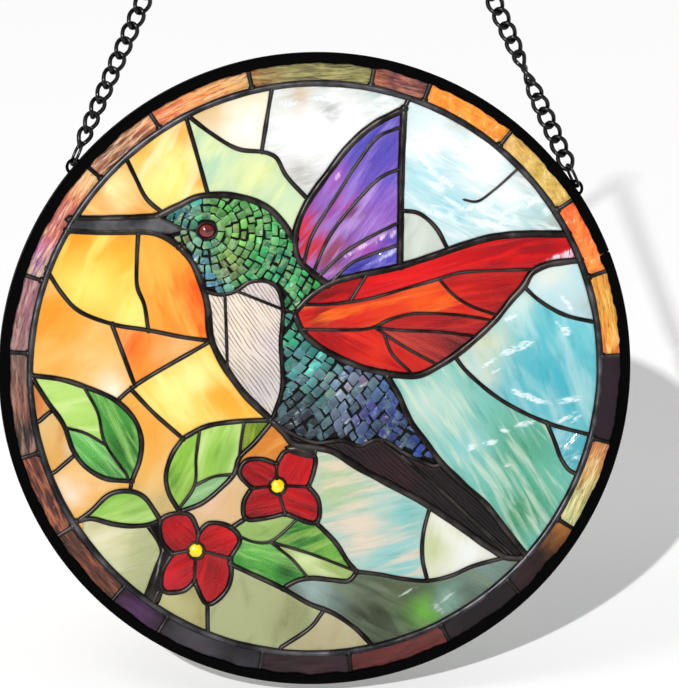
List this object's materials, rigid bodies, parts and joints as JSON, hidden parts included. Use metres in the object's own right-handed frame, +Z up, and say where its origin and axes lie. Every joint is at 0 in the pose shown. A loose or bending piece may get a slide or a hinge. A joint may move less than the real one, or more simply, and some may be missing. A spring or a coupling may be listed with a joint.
{
  "type": "stained glass suncatcher",
  "caption": "Round leaded glass panel with a hummingbird over red flowers, in a black metal rim, hung by a chain in two runs that meet at a ring.",
  "frame": {"origin": "inside top of the hanging ring, where the hook carries it", "axes": "+Z up along the hang, the picture faces -Y, +X to the right of the picture as seen from the front"},
  "size_m": [0.2, 0.0069, 0.3449],
  "materials": {
    "black_metal": "black satin patina",
    "lead": "dark grey patinated solder with soft highlights",
    "beak_metal": "dark gunmetal, satin",
    "border_glass": "textured streaky art glass in many warm and plum colours",
    "amber_glass": "wispy amber art glass",
    "yellow_glass": "wispy yellow art glass",
    "orange_glass": "wispy orange art glass",
    "cream_glass": "opalescent cream art glass",
    "peach_glass": "opalescent peach art glass",
    "white_glass": "rippled white art glass",
    "pale_green_glass": "wispy pale green art glass",
    "grey_green_glass": "wispy grey-green art glass",
    "olive_glass": "wispy olive art glass",
    "aqua_glass": "rippled aqua art glass",
    "pale_aqua_glass": "rippled pale aqua art glass",
    "teal_glass": "streaky teal art glass",
    "hill_glass": "mottled dark green and grey art glass",
    "violet_glass": "streaky violet, magenta and blue art glass",
    "red_glass": "bright red art glass",
    "dark_red_glass": "ruby red art glass",
    "crown_glass": "fine green and blue mosaic",
    "breast_glass": "opalescent cream glass with fine dark barbs",
    "body_glass": "fine green, teal and blue mosaic",
    "tail_glass": "dark plum glass with fine lines",
    "leaf_glass": "wispy lime and dark green art glass",
    "yellow_gem": "glossy yellow cabochon",
    "garnet_gem": "glossy garnet cabochon"
  },
  "bodies": {
    "root": {"rim": "black_metal", "leading": "lead", "border_glass": "border_glass", "amber_upper_left": "amber_glass", "yellow_upper_left": "yellow_glass", "pale_green_crown": "pale_green_glass", "cream_top": "cream_glass", "white_top": "white_glass", "white_upper_right": "white_glass", "grey_green_wing": "grey_green_glass", "yellow_left": "yellow_glass", "orange_throat": "orange_glass", "amber_left": "amber_glass", "orange_small": "orange_glass", "yellow_middle": "yellow_glass", "amber_strip": "amber_glass", "amber_chip": "amber_glass", "amber_edge": "amber_glass", "cream_under_leaf": "peach_glass", "pale_lower_left": "cream_glass", "olive_lower_left": "olive_glass", "olive_bottom": "olive_glass", "olive_foot": "olive_glass", "peach_flower": "peach_glass", "orange_flower": "orange_glass", "aqua_lower": "aqua_glass", "cream_lower_right": "cream_glass", "hill_bottom": "hill_glass", "teal_right": "teal_glass", "aqua_right": "aqua_glass", "aqua_chip": "aqua_glass", "pale_aqua_right": "pale_aqua_glass", "upper_wing": "violet_glass", "red_wing": "red_glass", "beak": "beak_metal", "head_mosaic": "crown_glass", "breast": "breast_glass", "body_mosaic": "body_glass", "tail": "tail_glass", "leaf_left": "leaf_glass", "leaf_middle": "leaf_glass", "leaf_small": "leaf_glass", "leaf_right": "leaf_glass", "flower_low": "dark_red_glass", "flower_high": "dark_red_glass", "flower_button_low": "yellow_gem", "flower_button_high": "yellow_gem", "eye": "garnet_gem", "jump_ring_left": "black_metal", "chain_left": "black_metal", "top_jump_ring_left": "black_metal", "jump_ring_right": "black_metal", "chain_right": "black_metal", "top_jump_ring_right": "black_metal", "hanging_ring": "black_metal"}
  },
  "joints": []
}
